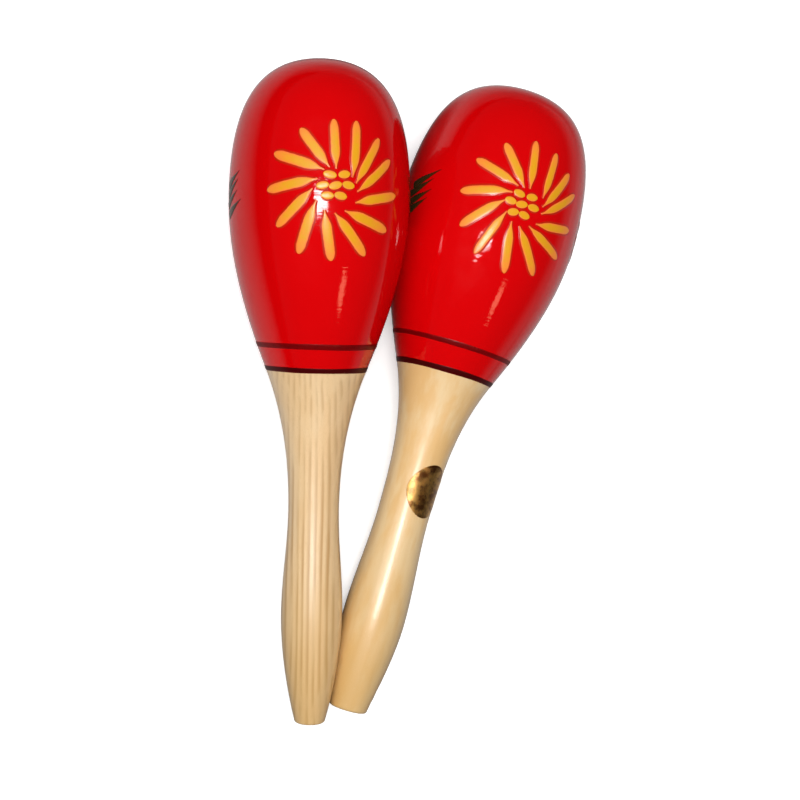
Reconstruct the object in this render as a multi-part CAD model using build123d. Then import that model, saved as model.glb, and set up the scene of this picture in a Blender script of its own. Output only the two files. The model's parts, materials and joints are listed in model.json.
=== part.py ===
from build123d import *

import os
from math import cos, hypot, radians, sin, sqrt

# A pair of hand-turned wooden maracas lying side by side on a table. Each one is an egg-shaped hollow
# head, glued up from two turned shells, on a turned handle whose spigot is glued into the head's mouth,
# with loose beads inside. Lengths are in millimetres. A station is a distance along a maraca's own
# axis, measured from the flat end of its handle.

# Sizes both maracas share
LENGTH = 230.0
MOUTH_STATION = 124.5
WALL = 4.5

# Joints between the pieces of one maraca
SPIGOT_RADIUS = 12.5
SPIGOT_LENGTH = 12.0
GLUE_GAP = 0.05
TONGUE_LENGTH = 3.0
END_ROUNDING = 1.0

# Loose beads, packed in rows of staggered places at the bottom of the cavity
BEAD_RADIUS = 2.5
BEAD_CLEARANCE = 0.15
BEAD_PITCH = 5.4
BEAD_ROWS = (5, 6, 5)

# Oval foil label on the right handle; its angle is turned from the side that faces the table
LABEL_STATION = 82.0
LABEL_ANGLE = 198.0
LABEL_HALF_LENGTH = 9.7
LABEL_HALF_WIDTH = 7.5
LABEL_GAP = 0.02
LABEL_THICKNESS = 0.12

# How the pair lies: each maraca keeps a hairline gap to the upright plane between the two
PAIR_GAP = 0.15
RIGHT_FORWARD = 5.2

# How finely the lie of the pair and the fall of the beads are worked out
CURVE_STEPS = 400
STEEPEST_RISE = 0.5
RISE_TOLERANCE = 1e-9
FALL_TOLERANCE = 1e-4


class Maraca:
    """The turned outline of one maraca. Points are (radius, station), slopes are radius per station."""

    def __init__(self, name, side, forward, end, grip, waist, mouth, belly, crown_fullness):
        self.name = name
        self.side = side
        self.forward = forward
        self.end = end
        self.grip = grip
        self.waist = waist
        self.mouth = mouth
        self.belly = belly
        self.crown_fullness = crown_fullness

    def handle_curves(self, offset=0.0):
        """From the end face over the swelling grip and the waist to the mouth of the head."""
        end_radius, end_slope = self.end
        mouth_radius, mouth_slope = self.mouth
        stations = [
            (end_radius + offset, 0.0, end_slope),
            (self.grip[0] + offset, self.grip[1], 0.0),
            (self.waist[0] + offset, self.waist[1], 0.0),
            (mouth_radius + offset, MOUTH_STATION, mouth_slope),
        ]
        return [flowing_curve(a, b) for a, b in zip(stations, stations[1:])]

    def base_curve(self):
        """From the mouth of the head to its widest place."""
        radius, slope = self.mouth
        return flowing_curve((radius, MOUTH_STATION, slope), (*self.belly, 0.0))

    def crown_curve(self):
        """From the widest place of the head over its rounded top to the axis."""
        return dome_curve(self.belly[0], self.belly[1], LENGTH, self.crown_fullness)

    def outline(self):
        return self.handle_curves() + [self.base_curve(), self.crown_curve()]

    def cavity_floor(self):
        """Radius of the cavity's flat floor, level with the end of the handle's spigot."""
        share = SPIGOT_LENGTH / (self.belly[1] - MOUTH_STATION)
        outer_radius = curve_point(self.base_curve(), share)[0]
        return outer_radius - WALL * sqrt(1 + self.mouth[1] ** 2)

    def cavity_base_curve(self):
        floor = (self.cavity_floor(), MOUTH_STATION + SPIGOT_LENGTH, self.mouth[1])
        return flowing_curve(floor, (self.belly[0] - WALL, self.belly[1], 0.0))

    def cavity_seam_curve(self):
        """The straight stretch of cavity wall along the tongue."""
        radius, seam = self.belly[0] - WALL, self.belly[1]
        return flowing_curve((radius, seam, 0.0), (radius, seam + TONGUE_LENGTH, 0.0))

    def cavity_crown_curve(self):
        start = self.belly[1] + TONGUE_LENGTH
        return dome_curve(self.belly[0] - WALL, start, LENGTH - WALL, self.crown_fullness)

    def cavity(self):
        return [self.cavity_base_curve(), self.cavity_seam_curve(), self.cavity_crown_curve()]


LEFT = Maraca(
    name="left",
    side=-1,
    forward=0.0,
    end=(5.25, 0.255),
    grip=(10.7, 39.2),
    waist=(8.8, 75.1),
    mouth=(17.6, 0.398),
    belly=(31.05, 182.2),
    crown_fullness=(0.60, 0.77),
)
RIGHT = Maraca(
    name="right",
    side=1,
    forward=RIGHT_FORWARD,
    end=(6.75, 0.178),
    grip=(11.2, 34.1),
    waist=(9.3, 71.2),
    mouth=(17.7, 0.442),
    belly=(32.5, 179.7),
    crown_fullness=(0.92, 0.49),
)


# ---- Outline curves: each is four Bezier poles, as (radius, station) points ----


def flowing_curve(start, end):
    """A curve that leaves start and reaches end with the slopes given at the two stations."""
    third = (end[1] - start[1]) / 3
    return [
        (start[0], start[1]),
        (start[0] + start[2] * third, start[1] + third),
        (end[0] - end[2] * third, end[1] - third),
        (end[0], end[1]),
    ]


def dome_curve(radius, base, top, fullness):
    """A rounded quarter outline, upright at its base and level where it meets the axis."""
    side_fullness, top_fullness = fullness
    height = top - base
    return [
        (radius, base),
        (radius, base + side_fullness * height),
        (top_fullness * radius, top),
        (0.0, top),
    ]


def curve_point(poles, t):
    weights = ((1 - t) ** 3, 3 * t * (1 - t) ** 2, 3 * t**2 * (1 - t), t**3)
    radius = sum(w * p[0] for w, p in zip(weights, poles))
    station = sum(w * p[1] for w, p in zip(weights, poles))
    return radius, station


def sampled(curves):
    return [curve_point(poles, i / CURVE_STEPS) for poles in curves for i in range(CURVE_STEPS + 1)]


# ---- How a maraca rests ----


def reach(points, rise):
    """How far the turned shape reaches from its handle end in a direction that its axis rises along."""
    return max(s * rise + r * sqrt(1 - rise**2) for r, s in points)


def resting_rise(maraca):
    """The rise of the axis at which the grip and the head touch one and the same plane."""
    grip = sampled(maraca.handle_curves()[:2])
    head = sampled([maraca.base_curve(), maraca.crown_curve()])
    low, high = 0.0, STEEPEST_RISE
    while high - low > RISE_TOLERANCE:
        middle = (low + high) / 2
        if reach(head, -middle) > reach(grip, -middle):
            low = middle
        else:
            high = middle
    return low


class Pose:
    """Where one maraca lies: against the table and against the upright plane between the pair."""

    def __init__(self, maraca):
        rise = resting_rise(maraca)
        height = reach(sampled(maraca.outline()), -rise)
        self.axis = Vector(maraca.side * rise, sqrt(1 - 2 * rise**2), rise)
        self.origin = Vector(maraca.side * (height + PAIR_GAP), maraca.forward, height)
        self.down = (Vector(0, 0, -1) + self.axis * rise).normalized()

    def point(self, station, radius, direction):
        return self.origin + self.axis * station + direction * radius

    def plane(self):
        """Local Z runs up the maraca's axis and local X is the side that faces the table."""
        return Plane(origin=self.origin, x_dir=self.down, z_dir=self.axis)

    def station_and_radius(self, point):
        away = point - self.origin
        station = away.dot(self.axis)
        return station, (away - self.axis * station).length


# ---- Turned pieces, each built upright on its own axis ----


def turned(*lines):
    """The solid turned from a closed half outline. Each item is four Bezier poles or two line ends."""
    edges = []
    for points in lines:
        corners = [(radius, 0, station) for radius, station in points]
        edges.append(Bezier(*corners) if len(corners) == 4 else Line(*corners))
    return revolve(make_face(edges), Axis.Z)


def chain(*points):
    """Straight lines that join the points in turn."""
    return [(a, b) for a, b in zip(points, points[1:])]


def make_handle(maraca):
    tip = MOUTH_STATION + SPIGOT_LENGTH
    spigot = SPIGOT_RADIUS - GLUE_GAP
    shoulder = [(maraca.mouth[0], MOUTH_STATION), (spigot, MOUTH_STATION)]
    inner = chain(*shoulder, (spigot, tip), (0, tip), (0, 0))
    end_face = [((0, 0), (maraca.end[0], 0))]
    handle = turned(*maraca.handle_curves(), *inner, *end_face)
    end_edge = handle.edges().filter_by(GeomType.CIRCLE).sort_by(Axis.Z)[0]
    return fillet(end_edge, END_ROUNDING)


def make_head_base(maraca):
    """The lower shell: it holds the spigot in its mouth and carries the tongue of the glued seam."""
    radius, seam = maraca.belly
    floor = MOUTH_STATION + SPIGOT_LENGTH
    tongue_top = seam + TONGUE_LENGTH
    tongue = chain(
        (radius, seam),
        (radius - WALL / 2, seam),
        (radius - WALL / 2, tongue_top),
        (radius - WALL, tongue_top),
        (radius - WALL, seam),
    )
    mouth = chain(
        (maraca.cavity_floor(), floor),
        (SPIGOT_RADIUS, floor),
        (SPIGOT_RADIUS, MOUTH_STATION),
        (maraca.mouth[0], MOUTH_STATION),
    )
    return turned(maraca.base_curve(), *tongue, maraca.cavity_base_curve(), *mouth)


def make_head_crown(maraca):
    """The upper shell, rebated at its rim for the tongue of the lower shell."""
    radius, seam = maraca.belly
    tongue_top = seam + TONGUE_LENGTH
    top = chain((0, LENGTH), (0, LENGTH - WALL))
    rebate = chain(
        (radius - WALL, tongue_top),
        (radius - WALL / 2, tongue_top),
        (radius - WALL / 2, seam),
        (radius, seam),
    )
    return turned(maraca.crown_curve(), *top, maraca.cavity_crown_curve(), *rebate)


def make_foil_label(maraca):
    """A thin oval of foil that follows the handle just above its waist."""
    inner = maraca.handle_curves(LABEL_GAP)[-1]
    outer = maraca.handle_curves(LABEL_GAP + LABEL_THICKNESS)[-1]
    sleeve = turned(inner, (inner[-1], outer[-1]), outer, (outer[0], inner[0]))
    outward = Vector(cos(radians(LABEL_ANGLE)), sin(radians(LABEL_ANGLE)), 0)
    cutter_plane = Plane(origin=(0, 0, LABEL_STATION), x_dir=(0, 0, 1), z_dir=outward)
    oval = cutter_plane * Ellipse(LABEL_HALF_LENGTH, LABEL_HALF_WIDTH)
    return sleeve & extrude(oval, amount=maraca.mouth[0])


# ---- Beads ----


def wall_distance(walls, pose, point):
    """Distance from a point inside the cavity to the nearest place on its wall."""
    station, radius = pose.station_and_radius(point)
    return min(hypot(radius - r, station - s) for r, s in walls)


def resting_place(walls, pose, start):
    """Where the centre of a bead comes to lie when it is let down from start to the cavity wall."""
    needed = BEAD_RADIUS + BEAD_CLEARANCE
    widest = max(r for r, _ in walls)
    clear, blocked = 0.0, 2 * widest
    while blocked - clear > FALL_TOLERANCE:
        fall = (clear + blocked) / 2
        point = start - Vector(0, 0, fall)
        inside = pose.station_and_radius(point)[1] < widest
        if inside and wall_distance(walls, pose, point) > needed:
            clear = fall
        else:
            blocked = fall
    return start - Vector(0, 0, clear)


def bead_places(maraca, pose):
    """The centres of the beads, in staggered rows at the bottom of the cavity."""
    walls = sampled(maraca.cavity())
    fall = sqrt(1 - pose.axis.Z**2)
    low_radius, low_station = max(walls, key=lambda wall: wall[0] * fall - wall[1] * pose.axis.Z)
    bottom = pose.point(low_station, low_radius, pose.down)
    level = pose.point(low_station, 0, pose.down).Z
    along = Vector(pose.axis.X, pose.axis.Y, 0).normalized()
    across = along.cross(Vector(0, 0, 1))
    places = []
    for row, count in enumerate(BEAD_ROWS):
        sideways = (row - (len(BEAD_ROWS) - 1) / 2) * BEAD_PITCH * sin(radians(60))
        for i in range(count):
            ahead = (i - (count - 1) / 2) * BEAD_PITCH
            spot = bottom + across * sideways + along * ahead
            places.append(resting_place(walls, pose, Vector(spot.X, spot.Y, level)))
    return places


# ---- The pair ----


def far_side(direction):
    """How far the pair reaches in a direction, from the upright line where its two corners meet."""
    return max(
        pose.origin.dot(direction) + reach(sampled(maraca.outline()), pose.axis.dot(direction))
        for maraca, pose in ((LEFT, Pose(LEFT)), (RIGHT, Pose(RIGHT)))
    )


def footprint_centre():
    """The point of the table below the middle of the pair's bounding box."""
    x = (far_side(Vector(1, 0, 0)) - far_side(Vector(-1, 0, 0))) / 2
    y = (far_side(Vector(0, 1, 0)) - far_side(Vector(0, -1, 0))) / 2
    return Vector(x, y, 0)


def make_pieces():
    """Every piece of the pair as name: solid, with the footprint's centre at the origin."""
    shift = Location(footprint_centre() * -1)
    pieces = {}
    for maraca in (LEFT, RIGHT):
        pose = Pose(maraca)
        place = shift * pose.plane().location
        pieces[f"{maraca.name}_handle"] = place * make_handle(maraca)
        pieces[f"{maraca.name}_head_base"] = place * make_head_base(maraca)
        pieces[f"{maraca.name}_head_crown"] = place * make_head_crown(maraca)
        for number, centre in enumerate(bead_places(maraca, pose), 1):
            pieces[f"{maraca.name}_bead_{number:02d}"] = shift * Pos(centre) * Sphere(BEAD_RADIUS)
    pieces["right_foil_label"] = shift * Pose(RIGHT).plane().location * make_foil_label(RIGHT)
    return pieces


os.makedirs("parts", exist_ok=True)
for node, piece in make_pieces().items():
    export_step(piece, f"parts/{node}.step")
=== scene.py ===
import json
import math
import random

import bpy
import numpy as np
from mathutils import Matrix, Quaternion, Vector


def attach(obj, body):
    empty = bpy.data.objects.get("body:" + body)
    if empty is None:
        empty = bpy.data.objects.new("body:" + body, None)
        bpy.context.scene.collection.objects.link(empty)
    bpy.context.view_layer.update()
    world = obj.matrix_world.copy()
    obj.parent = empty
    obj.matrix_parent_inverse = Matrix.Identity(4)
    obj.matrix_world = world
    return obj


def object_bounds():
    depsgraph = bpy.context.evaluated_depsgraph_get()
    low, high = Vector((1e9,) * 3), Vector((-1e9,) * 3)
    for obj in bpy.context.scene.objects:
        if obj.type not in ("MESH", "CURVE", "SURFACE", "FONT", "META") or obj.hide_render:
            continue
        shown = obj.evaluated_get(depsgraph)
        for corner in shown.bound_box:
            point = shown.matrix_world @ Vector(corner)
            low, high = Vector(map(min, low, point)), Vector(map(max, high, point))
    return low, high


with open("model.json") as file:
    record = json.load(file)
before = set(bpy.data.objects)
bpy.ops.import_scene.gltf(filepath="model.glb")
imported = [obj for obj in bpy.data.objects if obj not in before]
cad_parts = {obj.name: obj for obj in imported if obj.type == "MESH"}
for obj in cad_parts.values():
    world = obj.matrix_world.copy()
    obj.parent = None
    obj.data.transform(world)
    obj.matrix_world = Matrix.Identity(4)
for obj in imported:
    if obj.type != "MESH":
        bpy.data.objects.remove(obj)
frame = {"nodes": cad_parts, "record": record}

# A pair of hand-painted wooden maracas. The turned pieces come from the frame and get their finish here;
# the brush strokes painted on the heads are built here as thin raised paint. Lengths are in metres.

cad_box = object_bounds()
MM = 0.001


# ---- Each maraca's own axes and outline, read from the frame ----


class Maraca:
    """Places on one maraca: a station along its axis, an angle round it from the side that faces up."""

    OUTLINE_STEP = 1.0 * MM
    DEEPEST_DIP = 1.0 * MM

    def __init__(self, side):
        mounts = {m["name"]: m for m in frame["record"]["mounts"]}
        end_face = mounts[f"{side}_handle_end"]
        self.side = side
        self.body = f"{side}_maraca"
        self.end = Vector(end_face["pos_m"])
        self.axis = -Vector(end_face["axis"]).normalized()
        self.up = (Vector((0, 0, 1)) - self.axis * self.axis.z).normalized()
        self.right = self.axis.cross(self.up)
        self.read_outline()

    def nodes(self, *kinds):
        return [frame["nodes"][f"{self.side}_{kind}"] for kind in kinds]

    def read_outline(self):
        """The outermost radius at each station, and the distance along the outline up to it. A station
        where only the cavity's wall has a vertex dips far below its neighbours and is left out."""
        stations, radii = [], []
        for node in self.nodes("handle", "head_base", "head_crown"):
            points = np.array([v.co for v in node.data.vertices]) - np.array(self.end)
            along = points @ np.array(self.axis)
            stations.append(along)
            radii.append(np.sqrt(np.maximum((points**2).sum(1) - along**2, 0)))
        stations, radii = np.concatenate(stations), np.concatenate(radii)
        steps = np.round(stations / self.OUTLINE_STEP).astype(int)
        outermost = [np.flatnonzero(steps == k)[np.argmax(radii[steps == k])] for k in np.unique(steps)]
        order = sorted(outermost, key=lambda i: stations[i])
        stations, radii = stations[order], radii[order]
        share = (stations[1:-1] - stations[:-2]) / (stations[2:] - stations[:-2])
        dip = radii[:-2] + share * (radii[2:] - radii[:-2]) - radii[1:-1]
        outer = np.concatenate([[True], dip < self.DEEPEST_DIP, [True]])
        self.stations, self.radii = stations[outer], radii[outer]
        lengths = np.hypot(np.diff(self.stations), np.diff(self.radii))
        self.run = np.concatenate([[0], np.cumsum(lengths)])
        self.slopes = np.gradient(self.radii, self.stations)

    def radius(self, station):
        return float(np.interp(station, self.stations, self.radii))

    def surface(self, station, angle, height=0.0):
        """The point at a height above the turned surface."""
        outward = self.up * math.cos(angle) + self.right * math.sin(angle)
        slope = float(np.interp(station, self.stations, self.slopes))
        normal = (outward - self.axis * slope).normalized()
        return self.end + self.axis * station + outward * self.radius(station) + normal * height

    def patch(self, station, angle):
        """A flat map laid on the surface: (across, ahead) distances from a centre become a place on it."""
        centre_radius = self.radius(station)
        centre_run = float(np.interp(station, self.stations, self.run))

        def place(across, ahead, height=0.0):
            there = float(np.interp(centre_run + ahead, self.run, self.stations))
            turn = 2 * across / (centre_radius + self.radius(there))
            return self.surface(there, angle + turn, height)

        return place


LEFT = Maraca("left")
RIGHT = Maraca("right")


# ---- Shader graphs ----


class Graph:
    """A shader graph, built from short calls that each return the socket they make."""

    def __init__(self, tree):
        self.tree = tree

    def feed(self, socket, value):
        if isinstance(value, bpy.types.NodeSocket):
            self.tree.links.new(value, socket)
        elif value is not None:
            socket.default_value = value

    def node(self, kind, output=0, inputs=(), **settings):
        made = self.tree.nodes.new("ShaderNode" + kind)
        for key, value in settings.items():
            setattr(made, key, value)
        for i, value in enumerate(inputs):
            self.feed(made.inputs[i], value)
        return made.outputs[output]

    def math(self, operation, a, b=None):
        return self.node("Math", operation=operation, inputs=(a, b))

    def vector(self, operation, a, b=None):
        output = "Value" if operation in ("DOT_PRODUCT", "DISTANCE", "LENGTH") else "Vector"
        return self.node("VectorMath", output, operation=operation, inputs=(a, b))

    def noise(self, vector, scale, detail=3.0, roughness=0.5):
        made = self.tree.nodes.new("ShaderNodeTexNoise")
        given = {"Vector": vector, "Scale": scale, "Detail": detail, "Roughness": roughness}
        for key, value in given.items():
            self.feed(made.inputs[key], value)
        return made.outputs["Fac"]

    def band(self, value, low, high, start=0.0, end=1.0):
        """value, smoothly carried from low..high to start..end and held beyond them."""
        made = self.tree.nodes.new("ShaderNodeMapRange")
        made.interpolation_type = "SMOOTHSTEP"
        for socket, given in zip(made.inputs, (value, low, high, start, end)):
            self.feed(socket, given)
        return made.outputs[0]

    def mix(self, share, a, b):
        made = self.tree.nodes.new("ShaderNodeMix")
        made.data_type = "RGBA"
        for index, value in ((0, share), (6, a), (7, b)):
            self.feed(made.inputs[index], value)
        return made.outputs[2]

    def bump(self, height, distance):
        made = self.tree.nodes.new("ShaderNodeBump")
        made.inputs["Distance"].default_value = distance
        self.feed(made.inputs["Height"], height)
        return made.outputs["Normal"]

    def turned_vector(self, maraca):
        """Where a point lies on a maraca, in millimetres: up, right, and along its axis."""
        place = self.node("TexCoord", "Object")
        away = self.vector("SUBTRACT", place, tuple(maraca.end))
        parts = [
            self.vector("DOT_PRODUCT", away, tuple(direction / MM))
            for direction in (maraca.up, maraca.right, maraca.axis)
        ]
        return self.node("CombineXYZ", inputs=parts), parts


class Finish(Graph):
    """The node material of one finish, with one Principled shader."""

    def __init__(self, name):
        self.material = bpy.data.materials.new(name)
        self.material.use_nodes = True
        super().__init__(self.material.node_tree)

    def set(self, **values):
        shader = self.tree.nodes["Principled BSDF"]
        for key, value in values.items():
            self.feed(shader.inputs[key.replace("_", " ")], value)
        return self.material


def colour(red, green, blue):
    """A colour given in the 0 to 255 steps of a screen, as the linear light that shaders use."""
    steps = [c / 255 for c in (red, green, blue)]
    return (*[s / 12.92 if s <= 0.04045 else ((s + 0.055) / 1.055) ** 2.4 for s in steps], 1.0)


RED_PALE, RED_DEEP = colour(210, 2, 6), colour(202, 1, 4)
LATHE_STRETCH = 0.02
LATHE_RINGS_PER_MM = 1.15
PEEL_SHARE = 0.4


def red_lacquer(maraca):
    """Thick gloss lacquer over turned wood: an even red, with the lathe's fine rings just showing."""
    g = Finish(f"{maraca.side}_red_lacquer")
    place, (up, right, along) = g.turned_vector(maraca)
    base = g.mix(g.noise(place, 0.035, detail=2.0), RED_DEEP, RED_PALE)
    across = [g.math("MULTIPLY", direction, LATHE_STRETCH) for direction in (up, right)]
    rings = g.noise(g.node("CombineXYZ", inputs=(*across, along)), LATHE_RINGS_PER_MM, detail=2.0)
    peel = g.noise(place, 0.8, detail=2.0)
    height = g.math("ADD", rings, g.math("MULTIPLY", peel, PEEL_SHARE))
    wear = g.noise(place, 0.12, detail=4.0)
    return g.set(
        Base_Color=base,
        Roughness=0.45,
        Specular_IOR_Level=0.0,
        Coat_Weight=1.0,
        Coat_Roughness=g.band(wear, 0.3, 0.75, 0.035, 0.09),
        Coat_Normal=g.bump(height, 0.04 * MM),
        Normal=g.bump(height, 0.02 * MM),
    )


# The grain is stretched along the handle. The rings fade towards the head, and the wood is darker at the end.
GRAIN_STRETCH = 0.03
SWAY_REACH = 4.0
LATE_WOOD_RISE, LATE_WOOD_FALL = (0.20, 0.72), (0.74, 1.0)
RING_FADE = (50.0, 115.0, 0.9, 0.45)
FIBRE_SCALE = (6.0, 6.0, 0.16)
FIBRE_SHARE = 0.30
END_TINT = colour(202, 162, 96)
END_TINT_FADE = (0.0, 90.0, 0.60, 0.0)
GLOSS_SPREAD = 0.08


def clear_lacquered_wood(maraca, rings, pale, dark, tint, gloss):
    """Pale straight-grained wood under clear lacquer, with growth rings that run through the solid."""
    g = Finish(f"{maraca.side}_clear_lacquered_wood")
    place, (up, right, along) = g.turned_vector(maraca)
    stretched = g.vector("MULTIPLY", place, (1.0, 1.0, GRAIN_STRETCH))
    sway = g.math("MULTIPLY", g.math("SUBTRACT", g.noise(stretched, 0.09, detail=1.0), 0.5), SWAY_REACH)
    across = g.math("ADD", right, g.math("MULTIPLY", up, math.tan(rings["lean"])))
    rings_per_mm = math.cos(rings["lean"]) / rings["pitch"]
    saw = g.math("FRACT", g.math("MULTIPLY", g.math("ADD", across, sway), rings_per_mm))
    late = g.math("MULTIPLY", g.band(saw, *LATE_WOOD_RISE), g.band(saw, *LATE_WOOD_FALL, 1.0, 0.0))
    uneven = g.band(g.noise(stretched, 0.34, detail=2.0), 0.36, 0.62, 0.10, 1.0)
    uneven = g.math("MULTIPLY", uneven, g.band(along, *RING_FADE))
    ring = g.math("MULTIPLY", g.math("MULTIPLY", late, uneven), rings["depth"])
    fibres = g.noise(g.vector("MULTIPLY", place, FIBRE_SCALE), 1.0, detail=5.0, roughness=0.65)
    warmth = g.noise(g.vector("MULTIPLY", place, (1.0, 1.0, 0.30)), 0.09, detail=4.0, roughness=0.6)
    base = g.mix(g.band(warmth, 0.38, 0.62), pale, tint)
    base = g.mix(ring, base, dark)
    base = g.mix(g.band(fibres, 0.45, 0.80, 0.0, FIBRE_SHARE), base, dark)
    base = g.mix(g.band(along, *END_TINT_FADE), base, END_TINT)
    height = g.math("ADD", g.math("MULTIPLY", fibres, 0.5), g.math("MULTIPLY", late, 0.4))
    return g.set(
        Base_Color=base,
        Roughness=0.42,
        Specular_IOR_Level=0.7,
        Coat_Weight=1.0,
        Coat_Roughness=g.band(fibres, 0.3, 0.8, gloss, gloss + GLOSS_SPREAD),
        Coat_Normal=g.bump(height, 0.03 * MM),
        Normal=g.bump(height, 0.03 * MM),
    )


STREAKS_PER_METRE = 700.0
STREAK_SHARE = 0.30


def brush_paint(name, edge, thin, middle, thick, gloss, coat):
    """Enamel laid on by brush: the colour under it shows through where the stroke thins at its edge."""
    g = Finish(name)
    depth = g.node("Attribute", "Fac", attribute_name="paint_depth")
    streaks = g.noise(g.node("TexCoord", "Object"), STREAKS_PER_METRE, detail=3.0)
    uneven = g.math("ADD", depth, g.math("MULTIPLY", g.math("SUBTRACT", streaks, 0.5), STREAK_SHARE))
    base = g.mix(g.band(uneven, 0.15, 0.40), edge, thin)
    base = g.mix(g.band(uneven, 0.40, 0.70), base, middle)
    base = g.mix(g.band(uneven, 0.65, 0.95), base, thick)
    return g.set(
        Base_Color=base,
        Roughness=0.5,
        Specular_IOR_Level=0.0,
        Coat_Weight=coat,
        Coat_Roughness=gloss,
        Coat_Normal=g.bump(streaks, 0.03 * MM),
        Normal=g.bump(streaks, 0.03 * MM),
    )


# The foil's colour is mottled between these two: partly its print, partly painted reflection of darker and
# brighter surroundings
FOIL_DARK_MOTTLE, FOIL_LIGHT_MOTTLE = colour(132, 80, 28), colour(236, 184, 100)


def gold_foil():
    """Bright metal foil under clear film, a little crumpled where it follows the round of the handle. Its
    colour is mottled dark and bright along the creases: partly print, partly painted reflection.
    """
    g = Finish("gold_foil")
    place, _ = g.turned_vector(RIGHT)
    creases_and_reflection_mottle = g.noise(place, 0.30, detail=4.0, roughness=0.6)
    fine = g.noise(place, 1.6, detail=2.0)
    base = g.mix(g.band(creases_and_reflection_mottle, 0.36, 0.66), FOIL_DARK_MOTTLE, FOIL_LIGHT_MOTTLE)
    height = g.math("ADD", creases_and_reflection_mottle, g.math("MULTIPLY", fine, 0.04))
    return g.set(
        Base_Color=base,
        Metallic=0.94,
        Roughness=g.band(creases_and_reflection_mottle, 0.3, 0.7, 0.34, 0.42),
        Coat_Weight=0.6,
        Coat_Roughness=0.28,
        Normal=g.bump(height, 0.12 * MM),
    )


def bead_wood():
    g = Finish("bead_wood")
    place = g.node("TexCoord", "Object")
    grain = g.noise(g.vector("MULTIPLY", place, (1.0, 0.2, 1.0)), 1400.0, detail=4.0)
    return g.set(
        Base_Color=g.mix(grain, colour(120, 78, 42), colour(182, 132, 82)),
        Roughness=g.band(grain, 0.2, 0.8, 0.5, 0.7),
        Normal=g.bump(grain, 0.05 * MM),
    )


# ---- Painted strokes: thin closed shells of paint that follow the head ----

# A shell starts a little below the head's surface, so that no gap shows under its edges.
SINK = 0.08 * MM
STROKE_SIDES = 8
STROKE_SLOPE = 0.4
DARK_RIM_RISE = 0.36
DARK_RIM_SHOULDER = 0.8


def cross_section(half, dark_rim=0.0):
    """(offset, rise, depth of colour) across a stroke: flat on top, sloping to its edges. A low dark rim
    may run round it beyond the edges."""
    foot = DARK_RIM_RISE if dark_rim else 0.0
    core = []
    for k in range(STROKE_SIDES + 1):
        share = math.sin(math.pi * (k / STROKE_SIDES - 0.5))
        inward = min((1 - abs(share)) / STROKE_SLOPE, 1.0)
        depth = inward * inward * (3 - 2 * inward)
        core.append((share * half, foot + (1 - foot) * depth, depth))
    if not dark_rim:
        return core
    rims = [(half + dark_rim, 0.0, 0.0), (half + dark_rim * DARK_RIM_SHOULDER, DARK_RIM_RISE, 0.0)]
    return [(-offset, *rest) for offset, *rest in rims] + core + rims[::-1]


def mesh_piece(name, points, faces, depths, material, maraca):
    mesh = bpy.data.meshes.new(name)
    mesh.from_pydata([tuple(p) for p in points], [], faces)
    mesh.update()
    layer = mesh.attributes.new("paint_depth", "FLOAT", "POINT")
    layer.data.foreach_set("value", depths)
    for face in mesh.polygons:
        face.use_smooth = True
    mesh.materials.append(material)
    piece = bpy.data.objects.new(name, mesh)
    bpy.context.scene.collection.objects.link(piece)
    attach(piece, maraca.body)


LINE_THICKNESS = 0.08 * MM
LINE_DRIFT = 0.10 * MM
LINE_SWELL = 0.12
LINE_WAVES = range(1, 7)


class Paint:
    """Collects strokes and bands into one closed mesh."""

    def __init__(self):
        self.points, self.faces, self.depths = [], [], []

    def add(self, point, depth):
        self.points.append(point)
        self.depths.append(depth)
        return len(self.points) - 1

    def stroke(self, place, line, half_width, thickness, steps=28, ends=(1.0, 1.0), dark_rim=0.0):
        """One brush stroke. line(t) gives its centre and half_width(t) its half width, for t from 0 to 1.
        ends are the shares of its full depth of colour that the two ends keep."""
        rows = []
        for i in range(1, steps):
            t = 0.5 - 0.5 * math.cos(math.pi * i / steps)
            x, y = line(t)
            ahead = Vector(line(min(t + 0.01, 1.0))) - Vector(line(max(t - 0.01, 0.0)))
            side = Vector((ahead.y, -ahead.x)).normalized()
            half = half_width(t)
            row = []
            keep = 1 - (1 - ends[0]) * (1 - t) ** 4 - (1 - ends[1]) * t**4
            for offset, rise, depth in cross_section(half, min(dark_rim, half)):
                height = -SINK + (thickness + SINK) * rise * min(1.0, half / thickness)
                row.append(self.add(place(x + side.x * offset, y + side.y * offset, height), depth * keep))
            rows.append(row)
        tips = [self.add(place(*line(t), -SINK), 0.0) for t in (0.0, 1.0)]
        for near, far in zip(rows, rows[1:]):
            for k in range(len(near) - 1):
                self.faces.append((near[k], near[k + 1], far[k + 1], far[k]))
            self.faces.append((near[-1], near[0], far[0], far[-1]))
        for tip, row, flip in ((tips[0], rows[0], True), (tips[1], rows[-1], False)):
            ring = row if flip else row[::-1]
            for a, b in zip(ring, ring[1:] + ring[:1]):
                self.faces.append((tip, b, a))

    def band(self, maraca, station, width, depth, seed, steps=240):
        """A line drawn right round the head, with the small drift of a hand-held brush."""
        rng = random.Random(seed)
        waves = [(n, rng.uniform(0, 2 * math.pi), rng.uniform(0.3, 1.0) / n) for n in LINE_WAVES]
        rings = []
        for i in range(steps):
            angle = 2 * math.pi * i / steps
            drift = LINE_DRIFT * sum(size * math.sin(n * angle + turn) for n, turn, size in waves)
            swell = 1 + LINE_SWELL * sum(size * math.sin(n * angle + 2 * turn) for n, turn, size in waves)
            ring = []
            for offset, rise, share in cross_section(width * swell / 2):
                height = -SINK + (LINE_THICKNESS + SINK) * rise
                place = maraca.surface(station + drift + offset, angle, height)
                ring.append(self.add(place, share * depth))
            rings.append(ring)
        for near, far in zip(rings, rings[1:] + rings[:1]):
            for k in range(STROKE_SIDES + 1):
                after = (k + 1) % (STROKE_SIDES + 1)
                self.faces.append((near[k], far[k], far[after], near[after]))

    def finish(self, name, material, maraca):
        mesh_piece(name, self.points, self.faces, self.depths, material, maraca)


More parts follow.
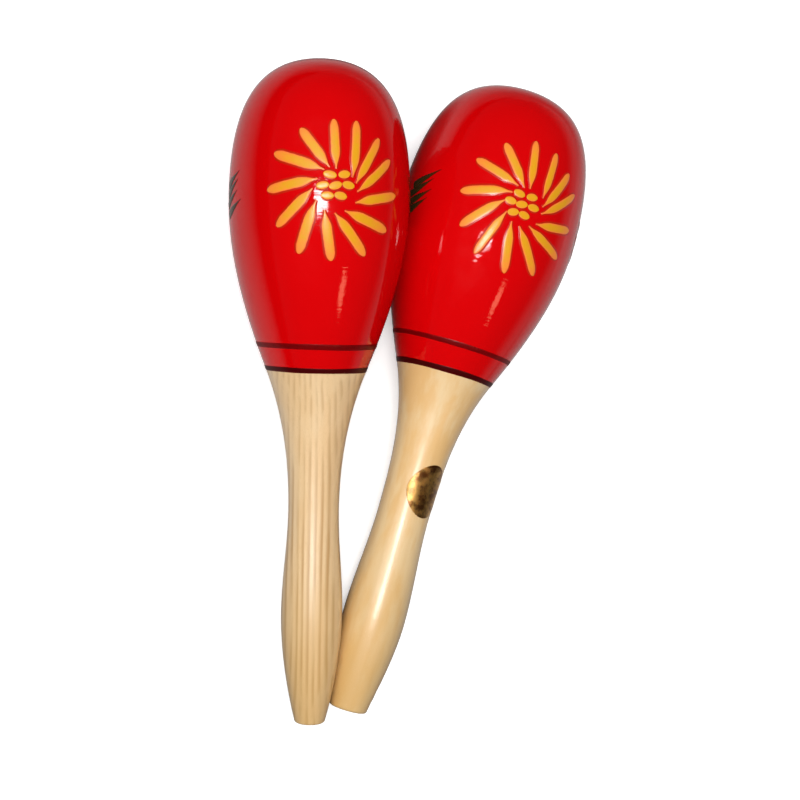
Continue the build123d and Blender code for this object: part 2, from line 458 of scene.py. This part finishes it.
# Flower: petals that swirl round a cluster of dots. The painter closes the ring with narrower gaps, and two
# petals keep only a share of the swirl. Each row of dots has its place ahead and those across, in pitches.
WIDE_GAPS, NARROW_GAPS = 10, 3
WIDE_GAP = math.radians(29.4)
NARROW_GAP = (2 * math.pi - WIDE_GAPS * WIDE_GAP) / NARROW_GAPS
FIRST_PETAL_TURN = math.radians(63)
PETAL_TIP = 23.6 * MM
PETAL_NECK = 10.0 * MM
PETAL_TAIL = 7.0 * MM
NECK_TURN = math.radians(18)
TAIL_TURN = math.radians(31)
STRAIGHT_PETALS = {9: 0.5, 10: 0.1}
TAIL_HALF_WIDTH = 0.36 * MM
DOT_ROWS = ((1, (-0.45, 0.70)), (0, (-1.0, 0.0, 1.05)), (-1, (-0.60, 0.42)))
DOT_PITCH_ACROSS = 4.2 * MM
DOT_PITCH_AHEAD = 3.4 * MM
DOT_HALF_LENGTH = 2.12 * MM
DOT_HALF_WIDTH = 1.50 * MM
PETAL_THICKNESS = 0.17 * MM
PETAL_END_DEPTHS = (0.30, 0.58)
PETAL_DARK_RIM = 0.45 * MM
DOT_DARK_RIM = 0.38 * MM
DOT_THICKNESS = 0.22 * MM
THINNEST = 0.02 * MM
SWELL_START, SWELL_RUN = 0.10, 0.42
TIP_ROUNDING, TAIL_ROUNDING = 0.13, 0.03
PETAL_WANDER = 0.6 * MM
DOT_WANDER = 0.15 * MM


def curve_through(a, b, c):
    """A smooth line from a to c that bends towards b."""

    def line(t):
        return tuple((1 - t) ** 2 * p + 2 * t * (1 - t) * q + t * t * r for p, q, r in zip(a, b, c))

    return line


def petal_half_width(full):
    """A thin tail that swells past the neck into an even stroke with a round tip."""

    def half(t):
        swell = min(max((t - SWELL_START) / SWELL_RUN, 0.0), 1.0)
        body = TAIL_HALF_WIDTH + (full - TAIL_HALF_WIDTH) * swell * swell * (3 - 2 * swell)
        tip = min((1 - t) / TIP_ROUNDING, 1.0)
        return max(body * math.sqrt(max(1 - (1 - tip) ** 2, 0.0)) * min(t / TAIL_ROUNDING, 1.0), THINNEST)

    return half


def oval_half_width(full):
    return lambda t: max(full * math.sqrt(max(1 - (2 * t - 1) ** 2, 0.0)), THINNEST)


def polar(radius, angle):
    return radius * math.sin(angle), radius * math.cos(angle)


def paint_petals(place, half_width, rng):
    petals = Paint()
    turn = FIRST_PETAL_TURN
    for k in range(WIDE_GAPS + NARROW_GAPS):
        share = STRAIGHT_PETALS.get(k, 1.0) * rng.uniform(0.9, 1.12)
        tip = polar(PETAL_TIP + rng.uniform(-1, 1) * PETAL_WANDER, turn + rng.uniform(-0.03, 0.03))
        neck = polar(PETAL_NECK * rng.uniform(0.95, 1.08), turn + NECK_TURN * share)
        tail = polar(PETAL_TAIL + rng.uniform(-1, 1) * PETAL_WANDER, turn + TAIL_TURN * share)
        full = half_width * rng.uniform(0.93, 1.07)
        line = curve_through(tail, neck, tip)
        half = petal_half_width(full)
        petals.stroke(place, line, half, PETAL_THICKNESS, ends=PETAL_END_DEPTHS, dark_rim=PETAL_DARK_RIM)
        turn += WIDE_GAP if k < WIDE_GAPS else NARROW_GAP
    return petals


def paint_dots(place, cluster, rng):
    dots = Paint()
    for row, offsets in DOT_ROWS:
        for offset in offsets:
            x = cluster[0] * MM + offset * DOT_PITCH_ACROSS + rng.uniform(-1, 1) * DOT_WANDER
            y = cluster[1] * MM + row * DOT_PITCH_AHEAD + rng.uniform(-1, 1) * DOT_WANDER
            slant = rng.uniform(-0.30, 0.25)
            reach = DOT_HALF_LENGTH * rng.uniform(0.94, 1.06)
            across, ahead = reach * math.cos(slant), -reach * math.sin(slant)
            line = curve_through((x - across, y - ahead), (x, y), (x + across, y + ahead))
            half = oval_half_width(DOT_HALF_WIDTH)
            dots.stroke(place, line, half, DOT_THICKNESS, steps=16, dark_rim=DOT_DARK_RIM)
    return dots


def flower(maraca, station, angle, plan, seed, name, paint):
    rng = random.Random(seed)
    place = maraca.patch(station, angle)
    paint_petals(place, plan["petal"] * MM, rng).finish(f"{name}_petals", paint, maraca)
    paint_dots(place, plan["cluster"], rng).finish(f"{name}_dots", paint, maraca)


# Leaves: a fan of pointed dark strokes beside each flower, each laid down by a few bunched bristles. A bunch
# has its place beside the middle of the stroke, its share of the stroke's length and its half width.
LEAF_STROKES = 4
LEAF_LENGTH = 13.5 * MM
LEAF_PITCH = 3.3 * MM
LEAF_SLANT = math.radians(64)
LEAF_FAN = 0.02
BRISTLES = ((0.0, 1.0, 1.75 * MM), (0.85 * MM, 0.86, 0.95 * MM), (-0.90 * MM, 0.80, 0.90 * MM))
BRISTLE_SPREAD = 0.10
LEAF_THICKNESS = 0.16 * MM
LEAF_END_DEPTHS = (0.9, 0.1)
LANDING, LIFTING = 0.16, 0.30


def bristle_half_width(full):
    """Blunt where the brush lands, pointed where it lifts."""

    def half(t):
        landing = min(t / LANDING, 1.0)
        body = full * math.sqrt(max(1 - (1 - landing) ** 2, 0.0))
        return max(body * (1 - max(t - LIFTING, 0.0) / (1 - LIFTING)) ** 1.1, THINNEST)

    return half


def leaves(maraca, station, angle, hand, seed, name, paint):
    """hand is 1 where the strokes point to the right of the head as its top is seen, and -1 to the left."""
    rng = random.Random(seed)
    place = maraca.patch(station, angle)
    fan = Paint()
    for k in range(LEAF_STROKES):
        step = k - (LEAF_STROKES - 1) / 2
        slant = LEAF_SLANT + rng.uniform(-0.07, 0.07) + LEAF_FAN * step
        length = LEAF_LENGTH * rng.uniform(0.88, 1.08)
        foot = (-LEAF_LENGTH / 2 * math.sin(LEAF_SLANT) + rng.uniform(-0.8, 0.8) * MM, step * LEAF_PITCH)
        for side, share, width in BRISTLES:
            lean = slant - side / MM * BRISTLE_SPREAD
            x = foot[0] + side * math.cos(slant)
            y = foot[1] - side * math.sin(slant) - LEAF_LENGTH / 2 * math.cos(LEAF_SLANT)
            reach = length * share * rng.uniform(0.94, 1.06)
            tip = (x + reach * math.sin(lean), y + reach * math.cos(lean))
            middle = ((x + tip[0]) / 2, (y + tip[1]) / 2 - 0.5 * MM)
            line = curve_through(*((hand * px, py) for px, py in ((x, y), middle, tip)))
            half = bristle_half_width(width)
            fan.stroke(place, line, half, LEAF_THICKNESS, steps=22, ends=LEAF_END_DEPTHS)
    fan.finish(name, paint, maraca)


# ---- Finishes on the frame's nodes ----

PALE_LEFT = colour(235, 204, 158)
DARK_LEFT = colour(184, 138, 84)
TINT_LEFT = colour(231, 196, 146)
PALE_RIGHT = colour(234, 206, 158)
DARK_RIGHT = colour(202, 152, 88)
TINT_RIGHT = colour(228, 186, 124)

RINGS_LEFT = {"pitch": 2.0, "depth": 0.95, "lean": math.radians(25)}
RINGS_RIGHT = {"pitch": 3.6, "depth": 0.14, "lean": math.radians(12)}

WOODS = {
    "left": clear_lacquered_wood(LEFT, RINGS_LEFT, PALE_LEFT, DARK_LEFT, TINT_LEFT, 0.32),
    "right": clear_lacquered_wood(RIGHT, RINGS_RIGHT, PALE_RIGHT, DARK_RIGHT, TINT_RIGHT, 0.22),
}
BEAD_WOOD = bead_wood()
GOLD_FOIL = gold_foil()


def dress(node, material):
    node.data.materials.clear()
    node.data.materials.append(material)


for maraca in (LEFT, RIGHT):
    lacquer = red_lacquer(maraca)
    for head in maraca.nodes("head_base", "head_crown"):
        dress(head, lacquer)
    dress(*maraca.nodes("handle"), WOODS[maraca.side])
dress(*RIGHT.nodes("foil_label"), GOLD_FOIL)
for name, node in frame["nodes"].items():
    if "_bead_" in name:
        dress(node, BEAD_WOOD)


# ---- The painting on the heads ----

YELLOWS = colour(184, 30, 1), colour(240, 108, 56), colour(240, 140, 50), colour(224, 158, 24)
GREENS = colour(150, 8, 6), colour(104, 16, 8), colour(66, 32, 12), colour(44, 42, 18)
MAROONS = colour(190, 1, 4), colour(140, 1, 3), colour(112, 1, 3), colour(62, 1, 3)
YELLOW_PAINT = brush_paint("yellow_paint", *YELLOWS, gloss=0.26, coat=1.0)
GREEN_PAINT = brush_paint("green_paint", *GREENS, gloss=0.20, coat=0.8)
MAROON_PAINT = brush_paint("maroon_paint", *MAROONS, gloss=0.30, coat=0.4)

# In millimetres and degrees: flower is the station and angle of its middle, cluster how far from there the
# dots lie, petal a petal's half width, leaves their station and angle from the flower, lines each one's
# station and width
PAINTING = {
    "left": {
        "flower": (184.0, -14.1),
        "cluster": (-0.2, 1.6),
        "petal": 1.84,
        "leaves": (183.7, 79),
        "lines": {"upper": (132.6, 2.35), "lower": (124.5, 2.25)},
        "seed": 3,
    },
    "right": {
        "flower": (184.5, -6.0),
        "cluster": (-1.3, 0.6),
        "petal": 1.70,
        "leaves": (181.9, 70),
        "lines": {"upper": (133.9, 1.95), "lower": (124.6, 2.25)},
        "seed": 8,
    },
}
LINE_DEPTHS = {"upper": 0.72, "lower": 1.0}
LEAF_SEEDS, LINE_SEEDS = 20, 30

for maraca in (LEFT, RIGHT):
    plan = PAINTING[maraca.side]
    station, angle = plan["flower"][0] * MM, math.radians(plan["flower"][1])
    for k, face in enumerate(("front", "back")):
        spot = angle + k * math.pi
        name = f"{maraca.side}_{face}_flower"
        flower(maraca, station, spot, plan, plan["seed"] + k, name, YELLOW_PAINT)
    for k, hand in enumerate((-1, 1)):
        spot = angle + hand * math.radians(plan["leaves"][1])
        name = f"{maraca.side}_leaves_{k + 1}"
        seed = plan["seed"] + LEAF_SEEDS + k
        leaves(maraca, plan["leaves"][0] * MM, spot, -hand, seed, name, GREEN_PAINT)
    for k, (name, (station, width)) in enumerate(plan["lines"].items()):
        line = Paint()
        line.band(maraca, station * MM, width * MM, LINE_DEPTHS[name], plan["seed"] + LINE_SEEDS + k)
        line.finish(f"{maraca.side}_{name}_line", MAROON_PAINT, maraca)


# ---- Floor, light and camera ----

FLOOR_SIZE = 80.0
FLOOR_DEPTH = 0.30 * MM
PAPER = colour(246, 246, 246)
PAPER_GLOW = 0.42
BACKDROP = 1.0
FADE_START, FADE_END = 0.25, 1.0

# What the gloss and the undersides of the pieces see of the floor is painted light and shade: a pale strip
# that runs to the right, dimmer with painted shade in the pocket between the two heads, and a faint painted
# glow on the right that stands in for a pale wall.
STRIP_PALE = 0.50
STRIP_LEFT = (-0.20, -0.06)
STRIP_MIDDLE = 0.08
STRIP_SIDE = (0.04, 0.24)
STRIP_SIDE_SHARE = 0.35
POCKET_CENTRE = Vector((-12.0, 118.0, 0.0)) * MM
POCKET_EDGE = (14.0 * MM, 48.0 * MM)
POCKET_SHADE_SHARE = 0.12
WALL_GLOW = 0.24
FLOOR_GLOW_EDGE = (0.20, 0.80)


def make_floor():
    half = FLOOR_SIZE / 2
    z = cad_box[0].z - FLOOR_DEPTH
    mesh = bpy.data.meshes.new("floor")
    corners = [(-half, -half, z), (half, -half, z), (half, half, z), (-half, half, z)]
    mesh.from_pydata(corners, [], [(0, 1, 2, 3)])
    g = Finish("floor_paper")
    place = g.node("TexCoord", "Object")
    tooth = g.noise(place, 900.0, detail=3.0)
    seen_by_camera = g.node("LightPath", "Is Camera Ray")
    fade = g.band(g.vector("LENGTH", place), FADE_START, FADE_END)
    paper = g.mix(fade, PAPER, colour(0, 0, 0))
    glow = g.math("ADD", PAPER_GLOW, g.math("MULTIPLY", fade, BACKDROP - PAPER_GLOW))
    x = g.node("SeparateXYZ", "X", inputs=(place,))
    y = g.node("SeparateXYZ", "Y", inputs=(place,))
    sideways = g.math("ABSOLUTE", g.math("SUBTRACT", y, STRIP_MIDDLE))
    # Painted light: a pale strip on the floor, seen only in the pieces' gloss and bounce light
    painted_light_strip = g.math(
        "MULTIPLY",
        g.band(x, *STRIP_LEFT, 0.0, STRIP_PALE),
        g.band(sideways, *STRIP_SIDE, 1.0, STRIP_SIDE_SHARE),
    )
    # Painted shade: the floor is darker round the pocket between the two heads
    from_pocket = g.vector("DISTANCE", place, tuple(POCKET_CENTRE))
    painted_pocket_shade = g.band(from_pocket, *POCKET_EDGE, POCKET_SHADE_SHARE, 1.0)
    # Painted glow: to the right the floor itself glows for everything but the camera, standing in for a pale
    # wall
    wall = g.band(x, *FLOOR_GLOW_EDGE, 0.0, WALL_GLOW)
    g.set(
        Base_Color=g.mix(seen_by_camera, g.math("MULTIPLY", painted_light_strip, painted_pocket_shade), paper),
        Roughness=0.8,
        Specular_IOR_Level=0.0,
        Emission_Color=(1.0, 1.0, 1.0, 1.0),
        Emission_Strength=g.mix(seen_by_camera, wall, glow),
        Normal=g.bump(tooth, 0.05 * MM),
    )
    mesh.materials.append(g.material)
    floor = bpy.data.objects.new("floor", mesh)
    bpy.context.scene.collection.objects.link(floor)


# The lamps' places, sizes and powers, in metres and watts
LAMPS = {
    "key": {"place": (-0.405, -0.118, 1.0), "size": (0.16, 0.29), "power": 4.3},
    "fill": {"place": (-0.80, -0.08, 1.45), "size": (1.6, 1.6), "power": 23.0, "in_reflections": False},
    "glint": {
        "place": (0.39, -0.74, 1.165),
        "size": (0.16, 0.24),
        "power": 0.66,
        "tint": (1.0, 0.5, 0.3),
        "turn": math.radians(-45),
    },
}


def make_light(name, place, size, power, tint=(1.0, 1.0, 1.0), turn=0.0, in_reflections=True):
    """A rectangular lamp that faces the middle of the pair, turned about the line to it."""
    aim = (cad_box[0] + cad_box[1]) / 2
    data = bpy.data.lights.new(name, "AREA")
    data.shape = "RECTANGLE"
    data.size, data.size_y = size
    data.energy = power
    data.color = tint
    light = bpy.data.objects.new(name, data)
    bpy.context.scene.collection.objects.link(light)
    light.location = place
    light.rotation_mode = "QUATERNION"
    facing = (aim - Vector(place)).to_track_quat("-Z", "Y")
    light.rotation_quaternion = facing @ Quaternion((0, 0, 1), turn)
    light.visible_glossy = in_reflections


# The studio's brightness at the horizon and overhead, as it lights the pieces and as their gloss shows it
AMBIENT_HORIZON, AMBIENT_TOP, AMBIENT_FADE = 0.14, 0.20, 0.6
GLOSS_HORIZON, GLOSS_TOP, GLOSS_FADE = 0.05, 0.03, 0.35
SKY_WALL_EDGE = (0.3, 0.9)


def make_world():
    world = bpy.data.worlds.new("studio")
    bpy.context.scene.world = world
    world.use_nodes = True
    g = Graph(world.node_tree)
    direction = g.node("TexCoord", "Generated")
    height = g.node("SeparateXYZ", "Z", inputs=(direction,))
    ambient = g.band(height, 0.0, AMBIENT_FADE, AMBIENT_HORIZON, AMBIENT_TOP)
    wall = g.band(g.node("SeparateXYZ", "X", inputs=(direction,)), *SKY_WALL_EDGE, 0.0, WALL_GLOW)
    gloss = g.band(height, 0.0, GLOSS_FADE, g.math("ADD", wall, GLOSS_HORIZON), GLOSS_TOP)
    lit = g.mix(g.node("LightPath", "Is Glossy Ray"), ambient, gloss)
    shown = g.mix(g.node("LightPath", "Is Camera Ray"), lit, (BACKDROP, BACKDROP, BACKDROP, 1.0))
    g.feed(world.node_tree.nodes["Background"].inputs["Color"], shown)


AIM_FROM_CENTRE = Vector((19.6, 3.0, 0.0)) * MM
CAMERA_DISTANCE = 575.6 * MM
CAMERA_AZIMUTH = math.radians(-75.38)
CAMERA_ELEVATION = math.radians(62.96)
CAMERA_ROLL = math.radians(4.95)
CAMERA_LENS = 69.6
CAMERA_SENSOR = 36.0


def make_camera():
    """From above and a little to the left, with the heads towards the top of the picture."""
    low, high = cad_box
    aim = Vector(((low.x + high.x) / 2, (low.y + high.y) / 2, low.z)) + AIM_FROM_CENTRE
    level = math.cos(CAMERA_ELEVATION)
    forward, aside = -math.cos(CAMERA_AZIMUTH) * level, math.sin(CAMERA_AZIMUTH) * level
    back = Vector((aside, forward, math.sin(CAMERA_ELEVATION)))
    across = Matrix.Rotation(CAMERA_ROLL, 3, back) @ Vector((0, 1, 0)).cross(back).normalized()
    data = bpy.data.cameras.new("camera")
    data.sensor_width = CAMERA_SENSOR
    data.lens = CAMERA_LENS
    camera = bpy.data.objects.new("camera", data)
    bpy.context.scene.collection.objects.link(camera)
    axes = Matrix((across, back.cross(across), back)).transposed()
    camera.matrix_world = Matrix.Translation(aim + back * CAMERA_DISTANCE) @ axes.to_4x4()
    bpy.context.scene.camera = camera


make_floor()
make_world()
for name, lamp in LAMPS.items():
    make_light(name, **lamp)
make_camera()
bpy.context.scene.view_settings.view_transform = "Standard"
